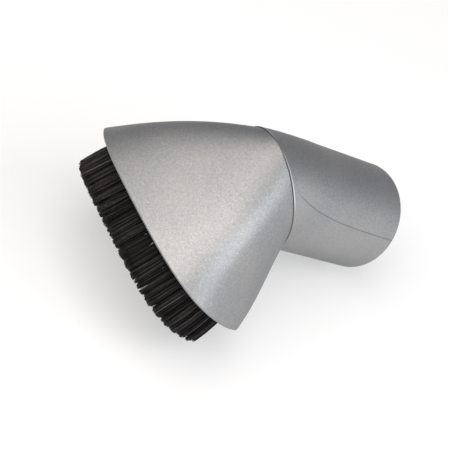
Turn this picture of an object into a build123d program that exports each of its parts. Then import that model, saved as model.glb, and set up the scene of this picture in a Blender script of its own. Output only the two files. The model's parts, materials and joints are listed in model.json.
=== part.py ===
"""Dusting brush for a vacuum cleaner: a bent, hollow hood with a ring of bristle tufts."""

import os
from math import atan, atan2, cos, degrees, radians, sin, tan

from build123d import *

# Oval mouth, in millimetres
mouth_width = 78.0        # side to side
mouth_depth = 51.0        # upper edge to lower edge
mouth_fullness = 0.75     # corner fullness of the oval: 0.55 is an ellipse, 1 a rectangle
waist_fullness = 0.84     # the same, halfway between mouth and bend
ellipse_fullness = 0.5523

# Hood and neck
hood_height = 31.0        # mouth plane to the bend, square to the mouth
neck_drop = 13.5          # bend below the middle of the mouth
bend_angle = 75.5         # degrees between the mouth's axis and the neck's axis
waist_draw = 0.5          # how far roof and sides are drawn in, halfway between mouth and bend
bend_sink = 1.4           # how far the outer side of the bend is drawn in
hood_wall = 2.4
neck_diameter = 37.0
neck_length = 53.5        # bend to the open end of the socket, along the axis
corner_clearance = 2.0    # straight underside between the sections of the bend
middle_turn = 0.75        # share of the bend turned at the middle one of these sections
crease_step = 0.3         # the neck stands this proud of the hood at the bend
edge_bevel = 0.5          # outer edges of the mouth and the socket

# Socket for the cleaner's tube
socket_radius = 16.1
socket_depth = 38.0       # straight wall, behind the chamfer
socket_lead_in = 1.0      # chamfer at the open end
stop_ledge = 1.2          # shoulder that stops the tube

# Rim that carries the tufts
lip_wall = 1.4            # thin lip around the land
lip_depth = 1.2           # land lies this far behind the lip
land_width = 10.2         # outer edge of the mouth to the suction opening
land_thickness = 5.5

# Bristle tufts and the staples that hold them
tuft_count = 42
tuft_inset = 7.0          # outer edge of the mouth to the row of tufts
tuft_flare = 12.0         # degrees the upper and lower tufts lean outwards
hole_radius = 1.5
hole_depth = 4.0
root_clearance = 0.05     # tuft root to the wall of its hole
bristle_length = 12.0     # past the lip
tip_radius = 2.3
tuft_sides = 6            # the holes have flats, and the tufts take that form
anchor_thickness = 0.35
anchor_height = 1.8
anchor_cover = 0.4        # bristles that pass under the staple

# Derived sizes
neck_radius = neck_diameter / 2
passage_radius = socket_radius - stop_ledge
mitre = bend_angle / 2
mitre_stretch = 1 / cos(radians(mitre))
root_radius = hole_radius - root_clearance
flat_angle = 180 / tuft_sides
root_flats = 2 * root_radius * cos(radians(flat_angle))
flare = radians(tuft_flare)
tuft_reach = (bristle_length + lip_depth) / cos(flare)

# The brush rests on the tips of its lower tufts and on the lowest point of its neck. Both are found in
# the plane of symmetry, as (height above the middle of the mouth, depth behind the mouth).
bend = radians(bend_angle)
low_tip = (
    tuft_inset - mouth_depth / 2 - tuft_reach * sin(flare) - tip_radius,
    -bristle_length,
)
low_neck = (
    -neck_drop - neck_length * sin(bend) - neck_radius * cos(bend),
    hood_height + neck_length * cos(bend) - neck_radius * sin(bend),
)
rest_pitch = degrees(atan2(low_tip[0] - low_neck[0], low_neck[1] - low_tip[1]))


def facing(pitch):
    """Direction towards the mouth side, at a pitch below the horizontal."""
    return Vector(0, -cos(radians(pitch)), -sin(radians(pitch)))


def across(origin, pitch):
    """Plane across the air path: x to the side, y towards the roof, z towards the mouth."""
    return Plane(origin, x_dir=(1, 0, 0), z_dir=facing(pitch))


# The origin is the middle of the socket, where its straight wall begins. The air path runs from there
# to the bend and on to the mouth.
socket = across((0, 0, 0), rest_pitch - bend_angle)
open_end = socket.offset(-socket_lead_in)
bend_point = open_end.offset(neck_length).origin
mitre_plane = across(bend_point, rest_pitch - mitre)
mouth_facing = across(bend_point, rest_pitch)
mouth = across(mouth_facing.from_local_coords((0, neck_drop, hood_height)), rest_pitch)
bevel_plane = mouth.offset(-edge_bevel)
land = mouth.offset(-lip_depth)
trim_plane = mouth.offset(bristle_length)


def oval(half_width, upper, lower, fullness):
    """Closed oval of four quarter curves, with its own reach to the roof and to the underside."""
    side = fullness * half_width
    Bezier((half_width, 0), (half_width, fullness * upper), (side, upper), (0, upper))
    Bezier((0, upper), (-side, upper), (-half_width, fullness * upper), (-half_width, 0))
    Bezier((-half_width, 0), (-half_width, -fullness * lower), (-side, -lower), (0, -lower))
    Bezier((0, -lower), (side, -lower), (half_width, -fullness * lower), (half_width, 0))


def mouth_oval(inset):
    oval(mouth_width / 2 - inset, mouth_depth / 2 - inset, mouth_depth / 2 - inset, mouth_fullness)


def mouth_sketch(plane, inset):
    with BuildSketch(plane) as section:
        with BuildLine():
            mouth_oval(inset)
        make_face()
    return section.sketch


def bend_sketch(radius, sink):
    with BuildSketch(mitre_plane) as section:
        with BuildLine():
            oval(radius, radius * mitre_stretch - sink, radius * mitre_stretch, ellipse_fullness)
        make_face()
    return section.sketch


def hood_sections(wall, back):
    """Sections of the hood from the bevel to the bend, a wall inside its skin."""
    front = mouth_sketch(bevel_plane, wall)
    middle_plane = across((mouth.origin + bend_point) / 2, rest_pitch - mitre / 2)
    mean_depth = (mouth_depth / 2 + neck_radius * mitre_stretch) / 2 - wall
    with BuildSketch(middle_plane) as middle:
        with BuildLine():
            oval(
                (mouth_width / 2 + neck_radius) / 2 - waist_draw - wall,
                mean_depth - waist_draw,
                mean_depth,
                waist_fullness,
            )
        make_face()
    return [front, middle.sketch, back]


def neck_sketch(share, clearance):
    """Neck cut by a plane that has turned a share of the bend, a clearance past the inner corner."""
    slant = bend * (1 - share)
    from_bend = neck_radius * (tan(bend / 2) - tan(slant)) + clearance
    plane = across(open_end.offset(neck_length - from_bend).origin, rest_pitch - bend_angle * share)
    with BuildSketch(plane) as section:
        with BuildLine():
            oval(neck_radius, neck_radius / cos(slant), neck_radius / cos(slant), ellipse_fullness)
        make_face()
    return section.sketch


with BuildPart() as neck:
    neck_end = neck_sketch(1, 2 * corner_clearance)
    loft([bend_sketch(neck_radius, bend_sink), neck_sketch(middle_turn, corner_clearance), neck_end])
    extrude(neck_end, amount=-(neck_length - neck_radius * tan(bend / 2) - 2 * corner_clearance))

with BuildPart() as passage:
    with BuildSketch(open_end):
        Circle(passage_radius)
    extrude(amount=neck_length + neck_radius * mitre_stretch)
    split(bisect_by=mitre_plane, keep=Keep.BOTTOM)

with BuildPart() as cavity:
    loft(hood_sections(hood_wall, bend_sketch(passage_radius + crease_step, 0)), ruled=True)
    split(bisect_by=land.offset(-land_thickness), keep=Keep.BOTTOM)

# Row of feet for the tufts, evenly spaced along the land. The upper tufts lean towards the roof and the
# lower ones towards the underside, and those at the ends stand straight.
with BuildLine(land) as tuft_row:
    mouth_oval(tuft_inset)
row = tuft_row.wire()
tuft_pitch = row.length / tuft_count
row_reach = mouth_depth / 2 - tuft_inset


def tuft_plane(number):
    """Plane at a tuft's foot: x along the row, z along the bristles."""
    along_row = (number + 0.5) * tuft_pitch
    foot = row.position_at(along_row, position_mode=PositionMode.LENGTH)
    tangent = row.tangent_at(along_row, position_mode=PositionMode.LENGTH)
    lean = flare * land.to_local_coords(foot).Y / row_reach
    bristle_dir = mouth.z_dir * cos(lean) + mouth.y_dir * sin(lean)
    outward = tangent.cross(mouth.z_dir)
    return Plane(foot, x_dir=bristle_dir.cross(outward), z_dir=bristle_dir)


tuft_planes = [tuft_plane(number) for number in range(tuft_count)]

with BuildPart() as body:
    loft(hood_sections(0, bend_sketch(neck_radius - crease_step, bend_sink)))
    loft([mouth_sketch(bevel_plane, 0), mouth_sketch(mouth, edge_bevel)], ruled=True)
    add(neck.part)
    add(cavity.part, mode=Mode.SUBTRACT)
    add(passage.part, mode=Mode.SUBTRACT)
    with BuildSketch(open_end):
        Circle(socket_radius)
    extrude(amount=socket_lead_in + socket_depth, mode=Mode.SUBTRACT)
    end_face = body.faces().sort_by(Axis(open_end.origin, open_end.z_dir))[0]
    chamfer(end_face.outer_wire().edges(), length=edge_bevel)
    chamfer(end_face.inner_wires().edges(), length=socket_lead_in)
    extrude(mouth_sketch(mouth, lip_wall), amount=-lip_depth, mode=Mode.SUBTRACT)
    extrude(mouth_sketch(land, land_width), amount=-land_thickness, mode=Mode.SUBTRACT)
    with BuildSketch(*[plane.offset(-hole_depth) for plane in tuft_planes]):
        RegularPolygon(hole_radius, tuft_sides, rotation=flat_angle)
    extrude(amount=hole_depth + lip_depth, mode=Mode.SUBTRACT)


def anchor_sketch(plane):
    """Section of the flat staple that crosses a tuft near the bottom of its hole."""
    with BuildSketch(plane.offset(anchor_cover - hole_depth)) as section:
        Rectangle(root_flats, anchor_thickness)
    return section.sketch


def bundle_sketch(plane, radius):
    with BuildSketch(plane) as section:
        RegularPolygon(radius, tuft_sides, rotation=flat_angle)
    return section.sketch


def tuft(plane):
    """Tuft of bristles: straight root in its hole, then spreading to the trimmed tips."""
    spread = (tip_radius - root_radius) * cos(radians(flat_angle)) / tuft_reach
    uncut_length = tuft_reach + 2 * tip_radius * sin(flare)
    with BuildPart() as bundle:
        extrude(bundle_sketch(plane, root_radius), amount=uncut_length)
        sides = bundle.faces().filter_by(Axis(plane.origin, plane.z_dir), reverse=True)
        draft(sides, neutral_plane=plane, angle=-degrees(atan(spread)))
        split(bisect_by=trim_plane, keep=Keep.BOTTOM)
        extrude(bundle_sketch(plane, root_radius), amount=-hole_depth)
        extrude(anchor_sketch(plane), amount=anchor_height, mode=Mode.SUBTRACT)
    return bundle.part


with BuildPart() as tuft_anchors:
    with BuildSketch(*[plane.offset(anchor_cover - hole_depth) for plane in tuft_planes]):
        Rectangle(root_flats, anchor_thickness)
    extrude(amount=anchor_height)

os.makedirs("parts", exist_ok=True)
body.part.label = "body"
export_step(body.part, "parts/body.step")
for number, plane in enumerate(tuft_planes, start=1):
    bristles = tuft(plane)
    bristles.label = f"tuft_{number:02d}"
    export_step(bristles, f"parts/{bristles.label}.step")
tuft_anchors.part.label = "tuft_anchors"
export_step(tuft_anchors.part, "parts/tuft_anchors.step")
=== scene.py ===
import json
import math

import bpy
import numpy as np
from mathutils import Matrix, Vector


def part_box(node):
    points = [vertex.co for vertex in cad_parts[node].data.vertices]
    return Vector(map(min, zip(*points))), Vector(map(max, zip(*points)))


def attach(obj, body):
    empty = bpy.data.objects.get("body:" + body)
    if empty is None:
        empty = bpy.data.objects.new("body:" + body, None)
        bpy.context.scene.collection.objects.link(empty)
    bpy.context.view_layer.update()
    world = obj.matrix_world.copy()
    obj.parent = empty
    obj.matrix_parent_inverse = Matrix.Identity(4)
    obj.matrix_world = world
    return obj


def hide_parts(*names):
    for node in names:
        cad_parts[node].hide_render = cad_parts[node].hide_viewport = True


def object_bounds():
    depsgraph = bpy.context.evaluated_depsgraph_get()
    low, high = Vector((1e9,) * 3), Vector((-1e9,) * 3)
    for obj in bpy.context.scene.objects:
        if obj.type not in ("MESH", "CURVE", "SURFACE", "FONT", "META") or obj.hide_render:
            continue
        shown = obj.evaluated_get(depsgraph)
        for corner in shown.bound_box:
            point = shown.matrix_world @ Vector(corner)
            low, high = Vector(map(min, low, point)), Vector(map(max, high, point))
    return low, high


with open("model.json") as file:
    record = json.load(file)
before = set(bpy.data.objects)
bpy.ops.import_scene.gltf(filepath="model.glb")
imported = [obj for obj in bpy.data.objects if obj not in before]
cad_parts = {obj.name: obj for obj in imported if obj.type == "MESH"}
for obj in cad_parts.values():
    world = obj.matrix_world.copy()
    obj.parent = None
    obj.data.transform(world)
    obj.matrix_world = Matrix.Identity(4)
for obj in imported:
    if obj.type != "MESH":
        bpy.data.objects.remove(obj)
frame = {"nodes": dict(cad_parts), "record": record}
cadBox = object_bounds()
scene = bpy.context.scene
scene.view_settings.view_transform = "Standard"
print("frame loaded:", len(frame["nodes"]), "nodes")


class Value:  # a socket, so that shader maths reads as an expression
    def __init__(self, finish, socket):
        self.finish = finish
        self.socket = socket

    def op(self, name, *others):
        return self.finish.node("ShaderNodeMath", dict(operation=name), dict(enumerate((self, *others))))

    def __add__(self, other):
        return self.op("ADD", other)

    def __radd__(self, other):
        return self.op("ADD", other)

    def __sub__(self, other):
        return self.op("SUBTRACT", other)

    def __rsub__(self, other):
        return self.op("MULTIPLY_ADD", -1.0, other)

    def __mul__(self, other):
        return self.op("MULTIPLY", other)

    def __rmul__(self, other):
        return self.op("MULTIPLY", other)

    def __neg__(self):
        return self.op("MULTIPLY", -1.0)

    def __abs__(self):
        return self.op("ABSOLUTE")


class Finish:  # a material and its nodes
    def __init__(self, name):
        self.material = bpy.data.materials.new(name)
        self.material.use_nodes = True
        self.tree = self.material.node_tree
        self.shader = self.tree.nodes["Principled BSDF"]

    def node(self, kind, settings=None, values=None, out=0):
        made = self.tree.nodes.new(kind)
        for key, setting in (settings or {}).items():
            setattr(made, key, setting)
        for name, value in (values or {}).items():
            self.feed(made.inputs[name], value)
        return Value(self, made.outputs[out])

    def feed(self, socket, value):
        if isinstance(value, Value):
            self.tree.links.new(value.socket, socket)
        else:
            socket.default_value = value

    def surface(self, **values):
        for name, value in values.items():
            self.feed(self.shader.inputs[name.replace("_", " ")], value)

    def place(self):  # position in the part's own frame, in metres
        return self.node("ShaderNodeTexCoord", out="Object")

    def along(self, place, direction):
        return self.node("ShaderNodeVectorMath", dict(operation="DOT_PRODUCT"),
                         {0: place, 1: tuple(direction)}, out="Value")

    def noise(self, place, size, detail):
        return self.node("ShaderNodeTexNoise", {},
                         {"Vector": place, "Scale": 1.0 / size, "Detail": detail})

    def between(self, value, low, high, toLow=0.0, toHigh=1.0):
        return self.node("ShaderNodeMapRange", dict(clamp=True, interpolation_type="SMOOTHSTEP"),
                         {0: value, 1: low, 2: high, 3: toLow, 4: toHigh})

    def band(self, value, rise, hold, end):  # full from rise to hold, gone at 0 and at the end
        return self.between(value, 0.0, rise) * (1 - self.between(value, hold, end))

    def mix(self, share, first, second):  # sockets 6 and 7 are the node's colours, and output 2 is theirs
        return self.node("ShaderNodeMix", dict(data_type="RGBA"), {0: share, 6: first, 7: second}, out=2)

    def bump(self, height, distance, strength):
        return self.node("ShaderNodeBump", {},
                         {"Height": height, "Distance": distance, "Strength": strength})


def dress(node, material):
    piece = frame["nodes"][node]
    piece.data.materials.clear()
    piece.data.materials.append(material)


# Axes of the neck, from the socket's mount: out of the socket, and up square to it
socketAxis = Vector(frame["record"]["mounts"][0]["axis"])
neckUp = Vector((1, 0, 0)).cross(socketAxis)


# Hood and neck: silver-grey plastic with metal flakes. Lengths in metres, angles in degrees
hood = dict(
    pale=(0.40, 0.40, 0.397, 1), dark=(0.365, 0.369, 0.375, 1), cloudSize=0.018, cloudRange=(0.3, 0.7),
    grainSize=0.0005, grainRange=(0.3, 0.7), grainDepth=0.00003, grainStrength=0.6,
    metallic=0.82, roughness=(0.43, 0.54), specular=0.45, edgeTint=(0.45, 0.45, 0.46, 1),
    mottle=dict(
        size=0.0007, start=0.0, full=0.25,
        lightShare=0.22, light=(0.60, 0.60, 0.595, 1), darkShare=0.22, dark=(0.24, 0.245, 0.25, 1),
    ),
    # flakes: their relief is a bump; their pale and dark tone, placed at random, is painted glint and
    # painted shade on the flakes
    flake=dict(
        size=0.00028, height=0.3, start=0.28, full=0.5,
        lightShare=0.26, light=(0.70, 0.70, 0.69, 1), darkShare=0.30, dark=(0.20, 0.205, 0.21, 1),
    ),
    seam=dict(
        neckRadius=0.0185, angle=69.4, turn=18.6, start=-0.0579, reach=0.014,   # turns up near the bend
        fadeBefore=0.003, fadeAfter=0.004, core=0.000112, width=0.00028, depth=1.5,
        share=0.45, colour=(0.10, 0.10, 0.105, 1),
        smoothWidth=0.0006, fewerFlakes=0.45, lessGrain=0.5,                    # smoother skin below it
    ),
    # crease: a painted highlight on the neck's side of the bend's step and painted shade on the hood's
    # side
    crease=dict(
        bendAngle=75.5, bendPlace=0.0525, start=3, end=74, fade=16,             # angles round the neck
        paintedHighlight=(0.00008, 0.0004, 0.0006), highlightShare=0.75, highlightColour=(0.92, 0.92, 0.92, 1),
        shade=(0.00005, 0.0002, 0.0004), shadeShare=0.7, shadeColour=(0.06, 0.06, 0.065, 1),
    ),
)


def spots(f, tone, value, look):  # lighter where the value is high, darker where it is low
    light = f.between(value, look["start"], look["full"], 0.0, look["lightShare"])
    dark = f.between(value, -look["full"], -look["start"], look["darkShare"], 0.0)
    return f.mix(dark, f.mix(light, tone, look["light"]), look["dark"])


def partingLine(f, alongNeck, angle):  # the mould's line on both sides of the neck, and the skin below it
    seam = hood["seam"]
    curl = ((seam["start"] - alongNeck) * (1 / seam["reach"])).op("EXPONENT")
    lineAngle = math.radians(seam["angle"]) - math.radians(seam["turn"]) * curl
    fromLine = (angle - lineAngle) * seam["neckRadius"]
    onNeck = f.between(alongNeck, seam["start"] - seam["fadeBefore"], seam["start"] + seam["fadeAfter"])
    line = (1 - f.between(abs(fromLine), seam["core"], seam["width"])) * onNeck
    below = f.between(fromLine, 0.0, seam["smoothWidth"]) * onNeck
    return line, below


def paintedCreaseLight(f, place, angle):  # at the bend: a painted highlight on the neck's side and painted shade on the hood's
    crease = hood["crease"]
    mitre = math.radians(crease["bendAngle"] / 2)
    bendNormal = -math.cos(mitre) * socketAxis - math.sin(mitre) * neckUp
    fromBend = f.along(place, bendNormal) - crease["bendPlace"] * math.cos(mitre)
    start, end, fade = (math.radians(crease[key]) for key in ("start", "end", "fade"))
    onSides = f.between(angle, start, start + fade) * (1 - f.between(angle, end - fade, end))
    return f.band(-fromBend, *crease["paintedHighlight"]) * onSides, f.band(fromBend, *crease["shade"]) * onSides


def hoodFinish():
    f = Finish("hoodPlastic")
    mottle, flake, seam, crease = hood["mottle"], hood["flake"], hood["seam"], hood["crease"]
    place = f.place()
    aside = abs(f.along(place, (1, 0, 0)))
    angle = aside.op("ARCTAN2", f.along(place, neckUp))                # round the neck, from its top
    line, below = partingLine(f, f.along(place, socketAxis), angle)
    paintedHighlight, shade = paintedCreaseLight(f, place, angle)

    middle = 0.5                                                       # of what a texture gives, 0 to 1
    cloud = f.noise(place, hood["cloudSize"], detail=1.0)
    grain = f.noise(place, hood["grainSize"], detail=3.0)
    patches = f.noise(place, mottle["size"], detail=2.0)
    flakes = f.node("ShaderNodeTexVoronoi", {},
                    {"Vector": place, "Scale": 1.0 / flake["size"]}, out="Color")
    sparkle = f.node("ShaderNodeSeparateColor", {}, {0: flakes})

    tone = f.mix(f.between(cloud, *hood["cloudRange"]), hood["dark"], hood["pale"])
    tone = spots(f, tone, patches - middle, mottle)
    # flake spots: painted glints and painted shade of the flakes, fewer below the parting line
    tone = spots(f, tone, (sparkle - middle) * (1 - seam["fewerFlakes"] * below), flake)
    tone = f.mix(seam["share"] * line, tone, seam["colour"])
    # painted highlight and painted shade along the bend's step
    tone = f.mix(crease["highlightShare"] * paintedHighlight, tone, crease["highlightColour"])
    tone = f.mix(crease["shadeShare"] * shade, tone, crease["shadeColour"])
    height = grain * (1 - seam["lessGrain"] * below) + flake["height"] * sparkle - seam["depth"] * line
    f.surface(Base_Color=tone, Metallic=hood["metallic"],
              Roughness=f.between(grain, *hood["grainRange"], *hood["roughness"]),
              Normal=f.bump(height, hood["grainDepth"], hood["grainStrength"]),
              Specular_IOR_Level=hood["specular"], Specular_Tint=hood["edgeTint"])
    return f.material


dress("body", hoodFinish())
print("hood dressed")


# Staples in the tuft holes: plain flat steel wire
staple = dict(
    colour=(0.55, 0.55, 0.54, 1), dull=(0.42, 0.42, 0.42, 1),
    streakSize=0.00008, streakRange=(0.2, 0.8), roughness=(0.34, 0.49),
)


def stapleFinish():
    f = Finish("stapleWire")
    streaks = f.noise(f.place(), staple["streakSize"], detail=2.0)
    f.surface(Base_Color=f.mix(streaks, staple["dull"], staple["colour"]), Metallic=1.0,
              Roughness=f.between(streaks, *staple["streakRange"], *staple["roughness"]))
    return f.material


dress("tuft_anchors", stapleFinish())
print("staples dressed")


# Bristle tufts: bundles of black monofilament, each in the place of its plain solid. Lengths in metres
bristle = dict(
    count=130, thickness=0.00032, sides=4, steps=6, seed=7,
    turnUpTo=6.28,                                     # chance turn of a bundle or a filament, in radians
    sink=0.0018, hole=0.0038,                          # where a filament starts, and where its hole ends
    swell=1.17, bulge=0.4, taper=0.22, taperCurve=4,   # width of the bundle outside its hole
    scatter=0.00012, clumps=6, clumping=0.42, clumpShare=(0.3, 1.0), sway=0.00018,
    extra=0.001, dome=0.0006, domeCurve=3,             # how the bundle's end is cut
    ragged=0.0018, raggedSkew=(1.2, 4.0), tipThin=0.25, tipCurve=6,
    rowEnd=0.032, lean=0.0007, endLength=0.0006,       # tufts at the mouth's ends lean out and are longer
    upperTrim=0.0005,                                  # the upper row is cut a little shorter
    # the grey that lighter filaments take is a painted highlight on the black nylon
    black=(0.003, 0.0027, 0.0028, 1), streakHighlight=(0.17, 0.154, 0.15, 1), toneSkew=(0.6, 2.2),
    streakSize=0.0011, streakRange=(0.25, 0.75), streakShare=(0.4, 1.0),
    roughness=(0.37, 0.57), specular=0.22,
)


def bristleFinish():
    f = Finish("bristleNylon")
    tint = f.node("ShaderNodeAttribute", dict(attribute_name="strandTone"), out="Fac")
    streak = f.noise(f.place(), bristle["streakSize"], detail=3.0)
    # grey streaks are painted highlights along the filaments; strandTone also carries painted shade
    # beside the next tuft
    share = tint * f.between(streak, *bristle["streakRange"], *bristle["streakShare"])
    f.surface(Base_Color=f.mix(share, bristle["black"], bristle["streakHighlight"]),
              Roughness=f.between(tint, 0.0, 1.0, *bristle["roughness"]),
              Specular_IOR_Level=bristle["specular"])
    return f.material


def ringOf(corners):  # middle of a ring of corners, and how far each one is from it
    ring = np.unique(corners.round(6), axis=0)            # each corner once, to a micrometre
    middle = ring.mean(0)
    return middle, np.linalg.norm(ring - middle, axis=1)


def tuftLine(node):  # root, tip and the half widths there of a plain tuft, read from its mesh
    rootBand = 0.0003                                     # the root's corners lie within this
    tipFrom = 0.75                                        # the tip's lie past this share of the length
    corners = np.array([v.co for v in frame["nodes"][node].data.vertices])
    middle = corners.mean(0)
    line = np.linalg.svd(corners - middle)[2][0]
    line *= np.sign(line @ (middle - np.array(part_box("body")[1])))     # from the root to the tip
    reach = (corners - middle) @ line
    low, high = reach.min(), reach.max()
    root, rootWidths = ringOf(corners[reach < low + rootBand])
    tip, tipWidths = ringOf(corners[reach > low + tipFrom * (high - low)])
    return root, tip, rootWidths.max(), tipWidths.mean()


def strandFaces(first):  # side faces and end of one filament whose corners start at first
    sides, steps = bristle["sides"], bristle["steps"]
    faces = []
    for step in range(steps):
        base = first + step * sides
        upper = base + sides
        for corner in range(sides):
            following = (corner + 1) % sides
            faces.append((base + corner, base + following, upper + following, upper + corner))
    last = first + steps * sides
    faces.append(tuple(range(last, last + sides)))
    return faces


def tuftMesh(name, root, tip, rootWidth, tipWidth, rowWay, tipShift, seed):
    rng = np.random.default_rng(seed)
    count, sides, steps = bristle["count"], bristle["sides"], bristle["steps"]
    sink, hole = bristle["sink"], bristle["hole"]
    radius = bristle["thickness"] / 2
    length = np.linalg.norm(tip - root)
    line = (tip - root) / length
    side = np.cross(line, (1.0, 0.0, 0.0))
    side /= np.linalg.norm(side)
    other = np.cross(line, side)
    outward = np.array([bristle["lean"] * root[0] / bristle["rowEnd"], 0.0, 0.0])

    # feet in the hole and heads outside it, spread evenly and then drawn into clumps
    goldenAngle = math.pi * (3 - math.sqrt(5))
    flatShare = math.cos(math.pi / 6)                                  # the hole has six flats
    turn = np.arange(count) * goldenAngle + rng.uniform(0, bristle["turnUpTo"])
    spread = np.sqrt((np.arange(count) + 0.5) / count)
    flat = np.stack([np.cos(turn) * spread, np.sin(turn) * spread], 1)
    feet = flat * (rootWidth * flatShare - radius)
    heads = flat * (tipWidth * bristle["swell"] - radius) + rng.normal(0, bristle["scatter"], (count, 2))
    centres = heads[rng.choice(count, bristle["clumps"], replace=False)]
    nearest = np.linalg.norm(heads[:, None] - centres[None], axis=2).argmin(1)
    pull = bristle["clumping"] * rng.uniform(*bristle["clumpShare"], (count, 1))
    heads += (centres[nearest] - heads) * pull
    sway = rng.normal(0, bristle["sway"], (count, 2))
    cut = length + bristle["extra"] + tipShift - bristle["dome"] * spread ** bristle["domeCurve"]
    cut -= bristle["ragged"] * rng.beta(*bristle["raggedSkew"], count)
    besides = np.abs(flat @ np.array([rowWay @ side, rowWay @ other]))  # 1 beside the next tuft, where shade is painted
    # random tone per filament, darkened beside the next tuft as painted shade
    tone = rng.beta(*bristle["toneSkew"], count) * (1 - besides ** 2)

    points, faces, tones = [], [], []
    ring = np.arange(sides) * math.tau / sides
    for number in range(count):
        corners = ring + rng.uniform(0, bristle["turnUpTo"])
        faces += strandFaces(len(points))
        for step in range(steps + 1):
            share = step / steps
            reach = sink + (cut[number] - sink) * share
            free = max(reach - hole, 0.0) / (length - hole)
            widening = free ** bristle["bulge"] * (1 - bristle["taper"] * free ** bristle["taperCurve"])
            across = feet[number] + (heads[number] - feet[number]) * widening
            across = across + sway[number] * math.sin(math.pi * share)
            width = radius * (1.0 - bristle["tipThin"] * share ** bristle["tipCurve"])
            middle = root + line * reach + outward * free
            for angle in corners:
                offset = across + width * np.array([math.cos(angle), math.sin(angle)])
                points.append(middle + side * offset[0] + other * offset[1])
                tones.append(tone[number])
    mesh = bpy.data.meshes.new(name)
    mesh.from_pydata([tuple(point) for point in points], [], faces)
    mesh.polygons.foreach_set("use_smooth", [True] * len(faces))
    mesh.attributes.new("strandTone", "FLOAT", "POINT").data.foreach_set("value", tones)
    mesh.update()
    return mesh


nylon = bristleFinish()
tufts = sorted(node for node in frame["nodes"] if node.startswith("tuft_") and node != "tuft_anchors")
lines = [tuftLine(node) for node in tufts]
roots = [line[0] for line in lines]
rowHeight = np.mean([root[2] for root in roots])
for number, (node, line, root) in enumerate(zip(tufts, lines, roots)):
    endShare = (root[0] / bristle["rowEnd"]) ** 2
    trim = bristle["upperTrim"] if root[2] > rowHeight else 0.0
    tipShift = bristle["endLength"] * endShare - trim * (1 - endShare)
    rowWay = roots[(number + 1) % len(roots)] - roots[number - 1]   # along the row, past both neighbours
    rowWay /= np.linalg.norm(rowWay)
    name = "bristles_" + node[-2:]
    mesh = tuftMesh(name, *line, rowWay, tipShift, bristle["seed"] + number)
    bundle = bpy.data.objects.new(name, mesh)
    scene.collection.objects.link(bundle)
    bundle.data.materials.append(nylon)
    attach(bundle, "root")
    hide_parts(node)
print("tufts made:", len(tufts))


# Floor, pale and plain
floorLook = dict(
    size=3.0, colour=(0.93, 0.93, 0.925, 1), paler=(0.95, 0.95, 0.945, 1), speckSize=0.004,
    roughness=0.8, specular=0.1, lift=0.45,      # lift is the share of plain white that is seen, not lit
)


def floorFinish():
    f = Finish("paleFloor")
    speck = f.noise(f.place(), floorLook["speckSize"], detail=2.0)
    f.surface(Base_Color=f.mix(speck, floorLook["colour"], floorLook["paler"]),
              Roughness=floorLook["roughness"], Specular_IOR_Level=floorLook["specular"])
    camera, glossy, through = (f.node("ShaderNodeLightPath", out=f"Is {ray} Ray")
                               for ray in ("Camera", "Glossy", "Transmission"))
    seen = (camera + glossy + through).op("MINIMUM", 1.0)
    white = f.node("ShaderNodeEmission", {}, {"Color": (1, 1, 1, 1), "Strength": 1.0})
    blend = f.node("ShaderNodeMixShader", {},
                   {0: floorLook["lift"] * seen, 1: Value(f, f.shader.outputs[0]), 2: white})
    f.feed(f.tree.nodes["Material Output"].inputs["Surface"], blend)
    return f.material


def layFloor():
    edge = floorLook["size"] / 2
    mesh = bpy.data.meshes.new("floor")
    corners = [(-edge, -edge, 0), (edge, -edge, 0), (edge, edge, 0), (-edge, edge, 0)]
    mesh.from_pydata(corners, [], [(0, 1, 2, 3)])
    mesh.materials.append(floorFinish())
    floor = bpy.data.objects.new("floor", mesh)
    floor.location.z = cadBox[0][2]
    scene.collection.objects.link(floor)


layFloor()
print("floor laid")


# Camera at the photograph's angle, turned about its own axis as the photograph is
view = dict(
    aim=(0.0035, -0.0597, 0.0098), azimuth=42.2, elevation=43.65, roll=29.1,
    distance=0.5096, lens=127.1, sensor=36.0,
)


def setCamera():
    azimuth, elevation, roll = (math.radians(view[key]) for key in ("azimuth", "elevation", "roll"))
    level = math.cos(elevation)
    towards = Vector((math.sin(azimuth) * level, -math.cos(azimuth) * level, math.sin(elevation)))
    turn = towards.to_track_quat("Z", "Y").to_matrix() @ Matrix.Rotation(roll, 3, "Z")
    data = bpy.data.cameras.new("photoView")
    data.lens = view["lens"]
    data.sensor_width = view["sensor"]
    camera = bpy.data.objects.new("photoView", data)
    place = Vector(view["aim"]) + towards * view["distance"]
    camera.matrix_world = Matrix.Translation(place) @ turn.to_4x4()
    scene.collection.objects.link(camera)
    scene.camera = camera


setCamera()
print("camera set")


# Soft studio light: one wide box overhead in front, a smaller one behind on the right, and a grey room
lamps = dict(
    over=dict(place=(0.0, -0.41, 0.83), size=1.3, power=12.2, colour=(1.0, 0.95, 0.905)),
    side=dict(place=(0.61, 0.36, 0.52), size=0.8, power=5.0, colour=(0.945, 0.965, 1.0)),
    aim=(0.0, -0.05, 0.0), room=(0.105, 0.113, 0.136, 1),
)


def softBox(name, place, size, power, colour):
    data = bpy.data.lights.new(name, "AREA")
    data.shape = "SQUARE"
    data.size = size
    data.energy = power
    data.color = colour
    lamp = bpy.data.objects.new(name, data)
    lamp.location = place
    lamp.rotation_euler = (Vector(place) - Vector(lamps["aim"])).to_track_quat("Z", "Y").to_euler()
    scene.collection.objects.link(lamp)


softBox("overBox", **lamps["over"])
softBox("sideBox", **lamps["side"])
world = bpy.data.worlds.new("room")
world.use_nodes = True
world.node_tree.nodes["Background"].inputs["Color"].default_value = lamps["room"]
scene.world = world
print("lights set")

bpy.context.view_layer.update()
